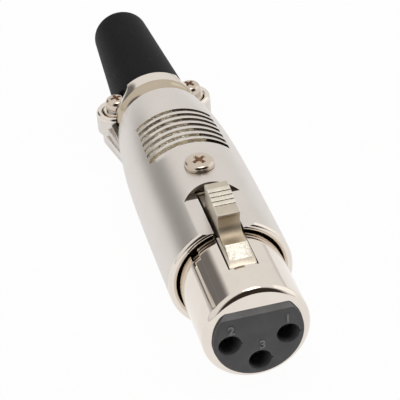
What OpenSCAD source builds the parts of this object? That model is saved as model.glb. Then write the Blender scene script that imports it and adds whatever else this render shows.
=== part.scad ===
// Female cable connector with three contacts and a latch.
// The origin is the centre of the insert's face. +Y runs along the axis to the cable end, +Z is
// the latch side, and +X is to the right seen from the front. All lengths are in millimetres.

/* [Nose shell] */
// Outside diameter of the nose
nose_d = 15.8; // [15:0.1:17]
// Length of the nose shell, with the part inside the grip
nose_len = 34.5; // [33.5:0.1:36]
// Depth of the nose's front edge behind the insert's face
nose_front_y = 0.5; // [0.3:0.05:0.7]
// Radius of the rounded front edge
nose_round = 1.1; // [0.6:0.05:1.2]
// Diameter of the bore that holds the insert
nose_bore_d = 13.24; // [12.9:0.02:13.3]
// Height of the bore's flat above the axis
bore_flat_z = 4.77; // [4.5:0.01:4.9]
// Front end of the latch slot
slot_front_y = 6.3; // [5.8:0.1:6.6]
// Width of the latch slot
slot_w = 4.4; // [4.2:0.05:4.6]
// Turn of the key groove from the top
key_angle = 43; // [38:1:50]
// Width of the key groove
key_w = 1.4; // [1:0.1:2]
// Depth of the key groove
key_depth = 0.55; // [0.3:0.05:0.7]
// Front end of the key groove
key_front_y = 1.4; // [1.2:0.1:3]

/* [Contacts and insert] */
// Length of the insert
insert_len = 19.4; // [18:0.1:20]
// Radius of the circle that the contacts stand on
contact_circle_r = 4.27; // [4.2:0.01:4.3]
// Turn of the side contacts from the bottom one
contact_angle = 82; // [78:1:84]
// Diameter of the contact holes in the insert
contact_hole_d = 3.36; // [3.3:0.02:3.5]
// Outside diameter of a contact
contact_d = 3.1; // [3:0.02:3.2]
// Bore of a contact
contact_bore_d = 2.5; // [2.4:0.02:2.6]
// Depth of the contact bore
contact_bore_len = 11; // [9:0.5:12]
// Depth of a contact's mouth behind the insert's face
contact_recess = 3; // [1:0.1:3.5]
// Diameter of a contact's collar
collar_d = 4.1; // [3.8:0.1:4.2]
// Length of a contact's collar
collar_len = 3; // [2:0.1:4]
// Width of the slots in a contact's mouth
contact_slit = 0.35; // [0.25:0.05:0.5]
// Length of a contact's solder cup
cup_len = 6; // [4:0.5:7]
// Wall of the solder cup
cup_wall = 0.5; // [0.48:0.02:0.6]
// Thickness of the contact retainer
retainer_t = 2; // [1.5:0.1:2.5]

/* [Grip housing] */
// Outside diameter of the grip
grip_d = 18.8; // [18.6:0.1:20]
// Front rim of the grip
grip_front_y = 14.05; // [13.5:0.05:14.5]
// Rear rim of the grip
grip_rear_y = 57; // [56.6:0.1:57.3]
// Outside diameter of the rear rim
grip_rear_d = 14.9; // [14.4:0.1:15.2]
// Where the grip starts to taper
taper_start_y = 20; // [18:0.5:26]
// Sharpness of the taper
taper_power = 4; // [3:0.1:5]
// Inside diameter of the front rim
rim_recess_d = 17; // [16.8:0.1:17.2]
// Depth of the hollow inside the front rim, which narrows to the nose
rim_recess_len = 2.2; // [1.5:0.1:3]
// Bore of the wiring chamber
chamber_d = 13.2; // [12.6:0.1:13.6]
// Rear end of the wiring chamber
chamber_rear_y = 53; // [51:0.5:54]
// Height of the latch pocket's flat floor
pocket_floor_z = 8.47; // [8.4:0.01:8.6]
// Where the straight sides of the pocket end
pocket_side_y = 23.1; // [22.8:0.1:23.3]
// Rear end of the arched pocket wall
pocket_rear_y = 25.4; // [25.2:0.1:25.8]
// Number of grip grooves
groove_count = 7; // [5:1:8]
// Front end of the grooves
groove_front_y = 36.6; // [35.5:0.1:37]
// Distance from groove to groove
groove_pitch = 1.68; // [1.5:0.02:1.8]
// Width of a groove
groove_w = 0.62; // [0.5:0.02:0.7]
// Width of the front groove
front_groove_w = 0.9; // [0.7:0.05:1.1]
// Depth of the grooves below the grip's surface
groove_depth = 0.5; // [0.3:0.05:0.7]
// Angle from the top to each end of the grooves
groove_angle = 43; // [35:1:48]

/* [Latch] */
// Width of the lever
lever_w = 3.3; // [3:0.05:3.5]
// Width of its lower body, which fills the slot
lever_body_w = 4; // [3.6:0.05:4.1]
// Height where the body narrows to the lever's upper part
lever_body_z = 7.95; // [7.6:0.05:8.1]
// Place of the pin along the axis
pin_y = 26.5; // [26.4:0.05:26.8]
// Height of the pin
pin_z = 6.3; // [6.2:0.05:6.5]
// Diameter of the pin
pin_d = 1.2; // [1:0.05:1.3]
// Length of the pin
pin_len = 7.6; // [7:0.1:7.8]
// Height of the thumb pad
pad_z = 12.8; // [12:0.1:13.4]
// Rear edge of the thumb pad
pad_rear_y = 20.6; // [20.2:0.1:22]
// Front edge of the thumb pad
pad_front_y = 13.2; // [12.8:0.1:13.8]
// Number of thumb steps
step_count = 4; // [3:1:5]
// Rise of one thumb step
step_h = 0.25; // [0.1:0.05:0.4]
// Width of one thumb step
step_w = 0.9; // [0.7:0.05:1]
// Fall of the thumb steps from rear to front
step_fall = 0.7; // [0.2:0.1:1]
// Height of the catch tooth
tooth_z = 9.05; // [8.8:0.05:9.2]
// Rear edge of the catch tooth
tooth_rear_y = 10.2; // [9.8:0.1:10.6]
// Front edge of the catch tooth
tooth_front_y = 7.7; // [7.4:0.1:8]
// Thickness of the spring strip
strip_t = 0.2; // [0.15:0.05:0.25]
// Width of the spring strip
strip_w = 2.6; // [2:0.1:3]

/* [Housing screw] */
// Place of the housing screw along the axis
screw_y = 30.3; // [30.2:0.1:31]
// Diameter of the housing screw
screw_d = 2.9; // [2.5:0.1:3]
// Diameter of its head
screw_head_d = 4.6; // [4:0.1:5]
// Height of its head
screw_head_h = 1.25; // [1:0.05:1.5]

/* [Cable clamp] */
// Distance of each clamp screw from the axis
clamp_x = 6.35; // [6.3:0.05:6.6]
// Place of the clamp screws along the axis
clamp_y = 62.8; // [62.4:0.1:63.2]
// Diameter of the clamp screws
clamp_screw_d = 1.7; // [1.5:0.1:1.9]
// Diameter of their heads
clamp_head_d = 3.6; // [3.2:0.1:3.7]
// Height of their heads
clamp_head_h = 1.7; // [1.2:0.05:1.9]
// Thickness of a spring washer
washer_t = 0.45; // [0.3:0.05:0.6]
// Height of the bosses' top above the axis
boss_top_z = 0; // [-0.2:0.05:0.3]
// Depth of the bosses
boss_h = 2.9; // [2.6:0.1:3.4]
// Radius of the bosses
boss_r = 3.4; // [3:0.1:3.5]
// Distance of the bosses' middle behind the screws
boss_back = 0.6; // [0:0.1:0.8]
// Gap between the saddle's ears and the bosses
clamp_gap = 0.4; // [0.2:0.05:0.6]
// Thickness of the saddle's ears
ear_t = 1; // [0.8:0.05:1.2]
// Inside radius of the clamp
clamp_bore_r = 6.35; // [6.3:0.05:6.5]
// Outside radius of the saddle's crown
crown_r = 7.1; // [7:0.05:7.4]
// Outside radius of the saddle's waist
waist_r = 6.7; // [6.65:0.05:6.8]
// Front edge of the saddle's crown
crown_front_y = 59; // [58.8:0.1:59.6]
// Rear edge of the saddle's crown
crown_rear_y = 63.2; // [63:0.1:64]
// Radius of the room round a screw head
head_room_r = 2.15; // [2:0.05:2.3]

/* [Boot] */
// Rear end of the boot
boot_rear_y = 90; // [84:0.5:94]
// Radius of the boot at its rear end
boot_end_r = 4.85; // [4.6:0.05:5.2]
// Rounding of the rear end
boot_round = 1.5; // [1:0.1:1.8]
// Bore for the cable
cable_d = 6.2; // [4:0.1:6.5]
// Length of the cable bore
cable_bore_len = 12; // [8:1:14]
// Radius of the cavity in front of the cable bore
boot_cavity_r = 3.9; // [3.7:0.1:4]
// Front end of the boot
boot_front_y = 55.5; // [55:0.1:56.5]

/* [Hidden] */
$fn = 96;

satin = [0.78, 0.76, 0.74];
polished = [0.84, 0.80, 0.77];
plastic = [0.24, 0.25, 0.26];
gold = [0.80, 0.66, 0.38];
steel = [0.62, 0.60, 0.58];
black = [0.09, 0.09, 0.10];

// Clearances: seats that are pushed together by hand, and the room a moving piece needs. The
// last two only carry cuts past the surfaces they cut
seat = 0.05;
pin_play = 0.05;
over = 1;
far = 20;

nose_r = nose_d / 2;
bore_r = nose_bore_d / 2;
grip_r = grip_d / 2;
grip_rear_r = grip_rear_d / 2;
rim_recess_r = rim_recess_d / 2;
seat_bore_r = nose_r + seat;
chamber_r = chamber_d / 2;
rim_round = (grip_r - rim_recess_r) / 2;
insert_r = bore_r - seat;
insert_top_z = bore_flat_z - seat;
insert_rear_y = insert_len;
retainer_y = insert_rear_y + seat;
collar_rear_y = insert_rear_y - seat;
collar_front_y = collar_rear_y - collar_len;
pin_bore_r = pin_d / 2 + pin_play;
eye_r = pin_z - bore_flat_z - 0.25;
spot_z = sqrt(grip_r * grip_r - screw_head_d * screw_head_d / 4);
ear_z = boss_top_z + clamp_gap;
washer_z = ear_z + ear_t;
clamp_head_z = washer_z + washer_t;
boss_y = clamp_y + boss_back;
cradle_rear_y = boss_y + boss_r;
boot_flat_x = clamp_x - clamp_head_d / 2 - 0.1;
boot_flat_y = clamp_y + clamp_head_d / 2 + 0.3;
boot_r = clamp_bore_r - seat;

// Points of an arc about (cx, cy), from angle a to angle b
function arc(cx, cy, r, a, b, n = 6) =
    [for (i = [0 : n]) let (t = a + (b - a) * i / n) [cx + r * cos(t), cy + r * sin(t)]];

// Radius of the grip at a place along the axis: straight, then curving in to the rear rim
function grip_radius(y) = let (part = max(0, y - taper_start_y) / (grip_rear_y - taper_start_y))
    grip_r - (grip_r - grip_rear_r) * pow(part, taper_power);

// Turns a shape made along Z so that it runs along Y, with its +Y side down
module along_axis() { rotate([-90, 0, 0]) children(); }

// Solid turned about the connector's axis, from points of radius and distance along the axis
module turned(points) { along_axis() rotate_extrude() polygon(points); }

module rod(r, y0, y1) { along_axis() translate([0, 0, y0]) cylinder(r = r, h = y1 - y0); }

// Disc along the axis with a flat across its top
module flat_disc(r, flat_z, y0, y1) {
    intersection() {
        rod(r, y0, y1);
        translate([-r - over, y0 - over, -r - over])
            cube([2 * r + 2 * over, y1 - y0 + 2 * over, r + over + flat_z]);
    }
}

// Places its child on contact 1, 2 or 3, seen from the front: right, left and bottom
function contact_x(i) = contact_circle_r * sin(contact_angle) * [1, -1, 0][i - 1];
function contact_z(i) = -contact_circle_r * [cos(contact_angle), cos(contact_angle), 1][i - 1];
module at_contact(i) { translate([contact_x(i), 0, contact_z(i)]) children(); }

module slot_cut(y0, y1, z0, z1) { translate([-slot_w / 2, y0, z0]) cube([slot_w, y1 - y0, z1 - z0]); }

module grip_outline() {
    taper = [for (i = [0 : 14]) let (y = taper_start_y
        + (grip_rear_y - 0.5 - taper_start_y) * i / 14) [grip_radius(y), y]];
    hollow_y = grip_front_y + rim_recess_len;
    turned(concat(
        [[0, hollow_y], [seat_bore_r - 0.3, hollow_y], [rim_recess_r - 0.15, grip_front_y + 1]],
        arc(grip_r - rim_round, grip_front_y + rim_round, rim_round, 180, 360, 10),
        taper,
        arc(grip_rear_r - 0.55, grip_rear_y - 0.5, 0.5, 0, 90, 4),
        [[0, grip_rear_y]]));
}

// Lug beside the clamp, with a rounded rim, drawn in towards the grip at its front and underside
module clamp_boss(side) {
    rim = 0.4;
    floor_z = boss_top_z - boss_h;
    web_r = 2.2;
    web_drop = 1.4;
    translate([side * clamp_x, boss_y, floor_z]) rotate_extrude() polygon(concat(
        [[0, 0], [boss_r - rim, 0], [boss_r, rim]],
        arc(boss_r - rim, boss_h - rim, rim, 0, 90, 4),
        [[0, boss_h]]));
    hull() {
        translate([side * (clamp_x - 0.1), boss_y - 1, floor_z - web_drop])
            cylinder(r = web_r, h = web_drop + rim, $fn = 32);
        translate([side * (clamp_x - 1.7), grip_rear_y - 5, floor_z - web_drop / 2])
            cylinder(r = web_r - 0.2, h = web_drop, $fn = 32);
    }
}

// Lower half of the clamp, cast with the grip
module cradle() {
    root_y = grip_rear_y - 2;
    cradle_r = grip_rear_r + 0.8;
    bevel = 0.5;
    intersection() {
        turned([[0, root_y], [cradle_r - bevel, root_y], [cradle_r, cradle_rear_y - bevel],
                [cradle_r - bevel, cradle_rear_y], [0, cradle_rear_y]]);
        translate([-far, root_y - over, -far])
            cube([2 * far, cradle_rear_y - root_y + 2 * over, far + boss_top_z]);
    }
    for (side = [-1, 1]) clamp_boss(side);
}

module latch_pocket() {
    half_w = sqrt(grip_r * grip_r - pocket_floor_z * pocket_floor_z) + 0.2;
    arch = pocket_rear_y - pocket_side_y;
    arch_r = (half_w * half_w + arch * arch) / (2 * arch);
    translate([0, 0, pocket_floor_z]) {
        translate([-half_w, grip_front_y - over, 0])
            cube([2 * half_w, pocket_side_y - grip_front_y + over, over + grip_r]);
        intersection() {
            translate([0, pocket_rear_y - arch_r, 0]) cylinder(r = arch_r, h = over + grip_r);
            translate([-half_w, pocket_side_y - 0.1, 0]) cube([2 * half_w, arch + 0.2, over + grip_r]);
        }
    }
    slot_cut(grip_front_y - over, pocket_rear_y - 0.5, nose_r - 2, grip_r + over);
}

// Grooves across the grip's top, each a ring cut off at both ends
module grip_grooves() {
    reach = grip_r + over;
    front_deeper = 0.25;
    side_x = reach * 1.2 * sin(groove_angle);
    side_y = reach * 1.2 * cos(groove_angle);
    for (i = [0 : groove_count - 1]) {
        y = groove_front_y + i * groove_pitch;
        w = i == 0 ? front_groove_w : groove_w;
        deep = i == 0 ? groove_depth + front_deeper : groove_depth;
        intersection() {
            turned([[grip_radius(y) - deep, y], [reach, y], [reach, y + w],
                    [grip_radius(y + w) - deep + 0.2, y + w]]);
            translate([0, y - over, 0]) rotate([-90, 0, 0]) linear_extrude(w + 2 * over)
                polygon([[0, 0], [side_x, -side_y], [0, -reach * 1.6], [-side_x, -side_y]]);
        }
    }
}

module grip_housing() {
    color(satin) difference() {
        union() {
            grip_outline();
            cradle();
        }
        rod(seat_bore_r, grip_front_y - over, nose_len + seat);
        rod(chamber_r, nose_len, chamber_rear_y);
        turned([[0, chamber_rear_y - 0.01], [chamber_r, chamber_rear_y - 0.01],
                [clamp_bore_r, chamber_rear_y + 2], [clamp_bore_r, cradle_rear_y + over],
                [0, cradle_rear_y + over]]);
        latch_pocket();
        grip_grooves();
        translate([0, screw_y, 0]) cylinder(d = screw_d + 0.3, h = grip_r + over);
        translate([0, screw_y, spot_z]) cylinder(d = screw_head_d + 0.2, h = over);
        for (side = [-1, 1]) translate([side * clamp_x, clamp_y, boss_top_z - boss_h + 0.8])
            cylinder(d = clamp_screw_d + 2 * seat, h = boss_h);
    }
}

module nose_shell() {
    color(polished) difference() {
        turned(concat([[0, nose_front_y]],
                      arc(nose_r - nose_round, nose_front_y + nose_round, nose_round, -90, 0, 9),
                      [[nose_r, nose_len - 0.5], [nose_r - 0.5, nose_len], [0, nose_len]]));
        flat_disc(bore_r, bore_flat_z, -over, nose_len + over);
        slot_cut(slot_front_y, pin_y + eye_r + 0.5, bore_flat_z - 0.5, nose_r + over);
        rotate([0, -key_angle, 0]) hull() {
            translate([-key_w / 2, key_front_y + key_w / 2, nose_r - key_depth])
                cube([key_w, grip_front_y + rim_recess_len - key_front_y - key_w / 2, over]);
            translate([0, key_front_y + key_w / 2, nose_r - key_depth])
                cylinder(d = key_w, h = over, $fn = 32);
        }
        translate([-nose_r, pin_y, pin_z]) rotate([0, 90, 0])
            cylinder(r = pin_bore_r, h = 2 * nose_r);
        translate([0, screw_y, 0]) cylinder(d = screw_d + 2 * seat, h = nose_r + over);
    }
}

module insert() {
    color(plastic) difference() {
        flat_disc(insert_r, insert_top_z, 0, insert_rear_y);
        for (i = [1 : 3]) at_contact(i) {
            rod(contact_hole_d / 2, -over, insert_rear_y + over);
            rod(collar_d / 2 + seat, collar_front_y - seat, insert_rear_y + over);
        }
    }
}

module contact_retainer() {
    color(plastic) difference() {
        flat_disc(insert_r, insert_top_z, retainer_y, retainer_y + retainer_t);
        for (i = [1 : 3]) at_contact(i)
            rod(contact_d / 2 + seat, retainer_y - over, retainer_y + retainer_t + over);
    }
}

module contact(i) {
    cup_y = retainer_y + retainer_t + 0.4;
    rear_y = cup_y + cup_len;
    color(gold) at_contact(i) difference() {
        union() {
            turned([[0, contact_recess], [contact_d / 2 - 0.15, contact_recess],
                    [contact_d / 2, contact_recess + 0.15], [contact_d / 2, rear_y], [0, rear_y]]);
            rod(collar_d / 2, collar_front_y, collar_rear_y);
        }
        rod(contact_bore_d / 2, contact_recess - over, contact_recess + contact_bore_len);
        turned([[0, contact_recess - 0.1], [contact_d / 2 - 0.1, contact_recess - 0.1],
                [0, contact_recess + contact_d / 2 - 0.2]]);
        for (turn = [0, 90]) rotate([0, turn, 0])
            translate([-contact_slit / 2, contact_recess - over, -contact_d])
                cube([contact_slit, 6 + over, 2 * contact_d]);
        rod(contact_d / 2 - cup_wall, cup_y + 0.6, rear_y + over);
        translate([-contact_d, cup_y + 1.4, 0]) cube([2 * contact_d, cup_len, contact_d]);
    }
}

module contact_1() { contact(1); }
module contact_2() { contact(2); }
module contact_3() { contact(3); }

// Solder lug that lies on the retainer and reaches back beside the flat of the bore
module ground_tab() {
    sheet = 0.4;
    plate_w = 4.2;
    plate_h = 2.2;
    tail_w = 2.2;
    tail_len = 4;
    eye = 1.5;
    lug_y = retainer_y + retainer_t + seat;
    lug_z = insert_top_z - 0.9;
    color(polished) difference() {
        union() {
            translate([-plate_w / 2, lug_y, lug_z + 2 * sheet - plate_h]) cube([plate_w, sheet, plate_h]);
            translate([-tail_w / 2, lug_y, lug_z]) cube([tail_w, tail_len, sheet]);
            translate([0, lug_y + tail_len, lug_z]) cylinder(r = eye, h = sheet);
        }
        translate([0, lug_y + tail_len, lug_z - over]) cylinder(r = eye / 2, h = sheet + 2 * over);
    }
}

// Side view of the lever as points of (y, z): eye, pad with thumb steps, lip, waist, tooth and ramp
module lever_side() {
    front_y = slot_front_y + 0.25;
    under_z = bore_flat_z + 1.75;
    front_z = nose_r - 0.35;
    waist_z = nose_r + 0.55;
    waist_bend = 2;
    steps_rear_y = pad_rear_y - 1.8;
    steps_front_y = steps_rear_y - step_count * step_w;
    lip_z = pad_z - step_fall - step_h;
    steps = [for (i = [0 : step_count - 1]) for (p = [
        [steps_rear_y - i * step_w, pad_z - step_fall * i / step_count],
        [steps_rear_y - (i + 0.8) * step_w, pad_z - step_fall * (i + 0.6) / step_count],
        [steps_rear_y - (i + 0.85) * step_w, pad_z - step_fall * i / step_count - step_h]]) p];
    polygon(concat(
        [[pin_y + eye_r * 0.2, pin_z - eye_r], [front_y, under_z], [front_y, front_z],
         [tooth_front_y, nose_r + 0.1], [tooth_rear_y - 0.15, tooth_z], [tooth_rear_y, tooth_z - 0.05],
         [tooth_rear_y + 0.2, waist_z]],
        arc(pad_front_y - waist_bend + 0.4, waist_z + waist_bend, waist_bend, 262, 350, 9),
        [[pad_front_y + 0.35, lip_z - 0.8], [pad_front_y + 0.1, lip_z - 0.35],
         [pad_front_y, lip_z - 0.15], [pad_front_y + 0.15, lip_z], [pad_front_y + 0.9, lip_z + 0.1],
         [steps_front_y - 0.3, pad_z - step_fall - 0.1]],
        [for (i = [len(steps) - 1 : -1 : 0]) steps[i]],
        [[pad_rear_y - 0.5, pad_z], [pad_rear_y, pad_z - 0.4], [pad_rear_y, pin_z + eye_r + 1.4],
         [pad_rear_y + 0.8, pin_z + eye_r + 0.3]],
        arc(pin_y, pin_z, eye_r, 95, -70, 10)));
}

// The lever's side view given a width
module lever_slab(w) {
    translate([w / 2, 0, 0]) rotate([90, 0, 0]) rotate([0, -90, 0])
        linear_extrude(w) mirror([1, 0]) lever_side();
}

module latch_lever() {
    color(satin) difference() {
        union() {
            lever_slab(lever_w);
            intersection() {
                lever_slab(lever_body_w);
                translate([-lever_w, 0, 0]) cube([2 * lever_w, pin_y + 2 * eye_r, lever_body_z]);
            }
        }
        translate([-lever_w, pin_y, pin_z]) rotate([0, 90, 0]) cylinder(r = pin_bore_r, h = 2 * lever_w);
    }
}

module latch_pin() {
    color(steel) translate([-pin_len / 2, pin_y, pin_z]) rotate([0, 90, 0])
        cylinder(d = pin_d, h = pin_len);
}

module latch_spring() {
    foot_z = bore_flat_z + 0.02;
    rear_y = 21.5;
    bend_y = 17;
    crest_y = 12;
    tip_y = 10.6;
    crest = 0.95;
    tip = 0.85;
    color(steel) translate([strip_w / 2, 0, 0]) rotate([90, 0, 0]) rotate([0, -90, 0])
        linear_extrude(strip_w) mirror([1, 0]) polygon([
            [rear_y, foot_z], [rear_y, foot_z + strip_t], [bend_y, foot_z + strip_t],
            [crest_y, foot_z + strip_t + crest], [tip_y, foot_z + strip_t + tip],
            [tip_y, foot_z + tip], [crest_y, foot_z + crest], [bend_y, foot_z]]);
}

// Pan head with a domed top and a cross recess, on its shank
module pan_screw(head_d, head_h, shank_d, shank_len) {
    rim_h = head_h * 0.45;
    cross_turn = 12;
    difference() {
        union() {
            rotate_extrude() polygon(concat(
                [[0, 0], [head_d / 2, 0], [head_d / 2, rim_h]],
                arc(head_d / 2 - head_h * 0.5, rim_h, head_h * 0.5, 15, 75, 4),
                [[0, head_h]]));
            translate([0, 0, -shank_len]) cylinder(d = shank_d, h = shank_len);
        }
        for (turn = [0, 90]) rotate([0, 0, turn + cross_turn])
            translate([-head_d * 0.3, -head_d * 0.07, rim_h])
                cube([head_d * 0.6, head_d * 0.14, head_h]);
    }
}

module housing_screw() {
    color(polished) translate([0, screw_y, spot_z])
        pan_screw(screw_head_d, screw_head_h, screw_d, spot_z - bore_flat_z - 0.1);
}

module clamp_screw(side) {
    color(polished) translate([side * clamp_x, clamp_y, clamp_head_z])
        pan_screw(clamp_head_d, clamp_head_h, clamp_screw_d, clamp_head_z + boss_h - boss_top_z - 1);
}

module clamp_screw_left() { clamp_screw(-1); }
module clamp_screw_right() { clamp_screw(1); }

// Split spring washer
module clamp_washer(side) {
    color(steel) translate([side * clamp_x, clamp_y, washer_z]) difference() {
        cylinder(d = clamp_head_d, h = washer_t);
        translate([0, 0, -over]) cylinder(d = clamp_screw_d + 4 * seat, h = 3);
        rotate([0, 0, 200]) translate([0, -0.15, -over]) cube([clamp_head_d, 0.3, 3]);
    }
}

module clamp_washer_left() { clamp_washer(-1); }
module clamp_washer_right() { clamp_washer(1); }

// Upper half of the clamp: an arch with a concave waist in front of its crown, and two ears
module clamp_saddle() {
    front_y = grip_rear_y + 0.15;
    color(polished) difference() {
        union() {
            intersection() {
                turned(concat(
                    [[clamp_bore_r, front_y], [waist_r, front_y]],
                    arc(waist_r + 1.4, front_y + 0.3, 1.4, 180, 100, 6),
                    [[crown_r - 0.1, crown_front_y], [crown_r, crown_front_y + 0.3],
                     [crown_r - 0.05, crown_rear_y - 0.6], [crown_r - 0.4, crown_rear_y - 0.1],
                     [crown_r - 0.7, crown_rear_y], [clamp_bore_r, crown_rear_y]]));
                translate([-far, front_y - over, ear_z]) cube([2 * far, far, far]);
            }
            for (side = [-1, 1]) translate([side * clamp_x, clamp_y, ear_z])
                cylinder(r = head_room_r, h = ear_t);
        }
        rod(clamp_bore_r, front_y - over, crown_rear_y + 3);
        for (side = [-1, 1]) translate([side * clamp_x, clamp_y, 0]) {
            translate([0, 0, washer_z]) cylinder(r = head_room_r, h = far);
            cylinder(d = clamp_screw_d + 4 * seat, h = far);
        }
    }
}

module boot() {
    shoulder_y = crown_rear_y + 0.3;
    color(black) difference() {
        turned(concat(
            [[0, boot_front_y], [boot_r - 0.2, boot_front_y], [boot_r, boot_front_y + 0.3],
             [boot_r, shoulder_y]],
            arc(boot_end_r - boot_round, boot_rear_y - boot_round, boot_round, 4, 90, 7),
            [[0, boot_rear_y]]));
        rod(cable_d / 2, boot_front_y, boot_rear_y + over);
        turned([[0, boot_front_y - over], [boot_cavity_r, boot_front_y - over],
                [boot_cavity_r, boot_rear_y - cable_bore_len - 4],
                [cable_d / 2, boot_rear_y - cable_bore_len], [0, boot_rear_y - cable_bore_len]]);
        for (side = [0, 180]) rotate([0, side, 0])
            translate([boot_flat_x, boot_front_y - over, -boot_r - over])
                cube([boot_r, boot_flat_y - boot_front_y + over, 2 * boot_r + 2 * over]);
    }
}

grip_housing();
nose_shell();
insert();
contact_retainer();
contact_1();
contact_2();
contact_3();
ground_tab();
latch_lever();
latch_pin();
latch_spring();
housing_screw();
clamp_saddle();
clamp_screw_left();
clamp_screw_right();
clamp_washer_left();
clamp_washer_right();
boot();
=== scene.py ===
# %% [markdown]
# # A cable connector in satin and bright nickel
# This lesson dresses the imported model of a round metal cable connector. The imported model is the
# frame: every piece made here is in its coordinates, in metres, with the origin at the centre of
# the insert's face, +Y towards the cable and +Z on the latch side. The frame is loaded first,
# and its box is kept.

# %% Load the frame
import math

import bpy
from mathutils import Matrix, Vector


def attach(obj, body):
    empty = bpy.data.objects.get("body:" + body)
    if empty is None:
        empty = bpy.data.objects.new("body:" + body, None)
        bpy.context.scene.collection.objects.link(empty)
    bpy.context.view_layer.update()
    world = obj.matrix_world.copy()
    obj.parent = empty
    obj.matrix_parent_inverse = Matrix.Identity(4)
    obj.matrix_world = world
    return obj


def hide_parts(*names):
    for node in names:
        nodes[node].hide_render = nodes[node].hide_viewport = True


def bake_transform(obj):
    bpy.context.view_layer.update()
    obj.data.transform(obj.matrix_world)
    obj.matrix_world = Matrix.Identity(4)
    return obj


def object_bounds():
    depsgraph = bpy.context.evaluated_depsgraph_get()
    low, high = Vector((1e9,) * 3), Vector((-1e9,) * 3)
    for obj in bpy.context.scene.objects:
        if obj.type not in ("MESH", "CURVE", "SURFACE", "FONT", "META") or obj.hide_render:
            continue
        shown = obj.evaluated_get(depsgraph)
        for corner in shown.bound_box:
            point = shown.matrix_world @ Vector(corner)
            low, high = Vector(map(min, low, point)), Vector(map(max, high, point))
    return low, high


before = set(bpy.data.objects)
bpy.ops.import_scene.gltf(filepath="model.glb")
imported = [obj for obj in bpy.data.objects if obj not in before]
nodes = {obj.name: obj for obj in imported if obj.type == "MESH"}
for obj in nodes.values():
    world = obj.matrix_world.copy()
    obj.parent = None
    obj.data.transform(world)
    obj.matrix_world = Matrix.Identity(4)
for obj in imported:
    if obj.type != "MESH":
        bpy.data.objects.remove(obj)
cad_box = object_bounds()
MM = 0.001

# %% [markdown]
# ## The camera
# The photograph looks down on the connector from its front left through a long lens, with the
# camera a few degrees off level. The place and the lens were worked out from sizes that every such
# connector has: the nose, the circle of contacts and the latch slot. The small shift only moves
# the connector within the picture.

# %% Camera
CAMERA_PLACE = (-0.04368, -0.17173, 0.14964)
CAMERA_TURN_DEG = (54.310, 4.022, -14.243)
LENS_MM = 149.82
CAMERA_SHIFT = (0.0429, 0.0190)

bpy.ops.object.camera_add(location=CAMERA_PLACE,
                          rotation=[math.radians(a) for a in CAMERA_TURN_DEG])
camera = bpy.context.object
camera.data.sensor_width = 36
camera.data.lens = LENS_MM
camera.data.shift_x, camera.data.shift_y = CAMERA_SHIFT
camera.data.clip_start = 0.01
bpy.context.scene.camera = camera
bpy.context.scene.view_settings.view_transform = "Standard"
print("camera %.0f mm from the origin" % (Vector(CAMERA_PLACE).length / MM))

# %% [markdown]
# ## Drawing shader nodes
# Every finish below is a small tree of shader nodes. Three helpers keep them readable: one adds a
# node with its settings and plain input values, one joins two sockets, and one makes a node group
# with named sockets, so that an effect such as worn edges is built once and used in many finishes.

# %% Helpers for node trees
def add_node(tree, kind, values=None, **settings):
    node = tree.nodes.new(kind)
    for name, value in settings.items():
        setattr(node, name, value)
    for name, value in (values or {}).items():
        node.inputs[name].default_value = value
    return node


def join(tree, source, target):
    tree.links.new(source, target)


def new_group(name, inputs, outputs):
    group = bpy.data.node_groups.new(name, "ShaderNodeTree")
    for label, value in inputs.items():
        socket = group.interface.new_socket(name=label, in_out="INPUT",
                                            socket_type="NodeSocketFloat")
        socket.default_value = value
    for label in outputs:
        group.interface.new_socket(name=label, in_out="OUTPUT", socket_type="NodeSocketFloat")
    return group, group.nodes.new("NodeGroupInput"), group.nodes.new("NodeGroupOutput")


# %% [markdown]
# ## Floor, surroundings and lamps
# The photograph has a plain white ground. The floor and the world show white to the camera by
# themselves, and the lamps stay at a plain level. Bright metal is only as good as what it mirrors,
# so the world is a soft room: a pale floor and ceiling with a darker band of wall behind and to
# the left, which gives the barrel the long grey stripe of the photograph.

# %% Floor
FLOOR_Z = cad_box[0][2]
FLOOR_SIZE = 3.0

bpy.ops.mesh.primitive_plane_add(size=FLOOR_SIZE, location=(0, 0, FLOOR_Z))
floor = bpy.context.object
floor.name = "floor"

floor_look = bpy.data.materials.new("floor white")
floor_look.use_nodes = True
tree = floor_look.node_tree
tree.nodes.clear()
paper = add_node(tree, "ShaderNodeBsdfDiffuse", {"Color": (0.86, 0.86, 0.86, 1)})
glow = add_node(tree, "ShaderNodeEmission", {"Color": (1, 1, 1, 1), "Strength": 1.0})
ray = add_node(tree, "ShaderNodeLightPath")
seen = add_node(tree, "ShaderNodeMath", operation="MAXIMUM")
seen_share = add_node(tree, "ShaderNodeMath", {1: 0.96}, operation="MULTIPLY")
mixed = add_node(tree, "ShaderNodeMixShader")
result = add_node(tree, "ShaderNodeOutputMaterial")
join(tree, ray.outputs["Is Camera Ray"], seen.inputs[0])
join(tree, ray.outputs["Is Glossy Ray"], seen.inputs[1])
join(tree, seen.outputs[0], seen_share.inputs[0])
join(tree, seen_share.outputs[0], mixed.inputs[0])
join(tree, paper.outputs[0], mixed.inputs[1])
join(tree, glow.outputs[0], mixed.inputs[2])
join(tree, mixed.outputs[0], result.inputs["Surface"])
floor.data.materials.append(floor_look)
print("floor %.1f mm under the axis" % (-FLOOR_Z / MM))

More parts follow.
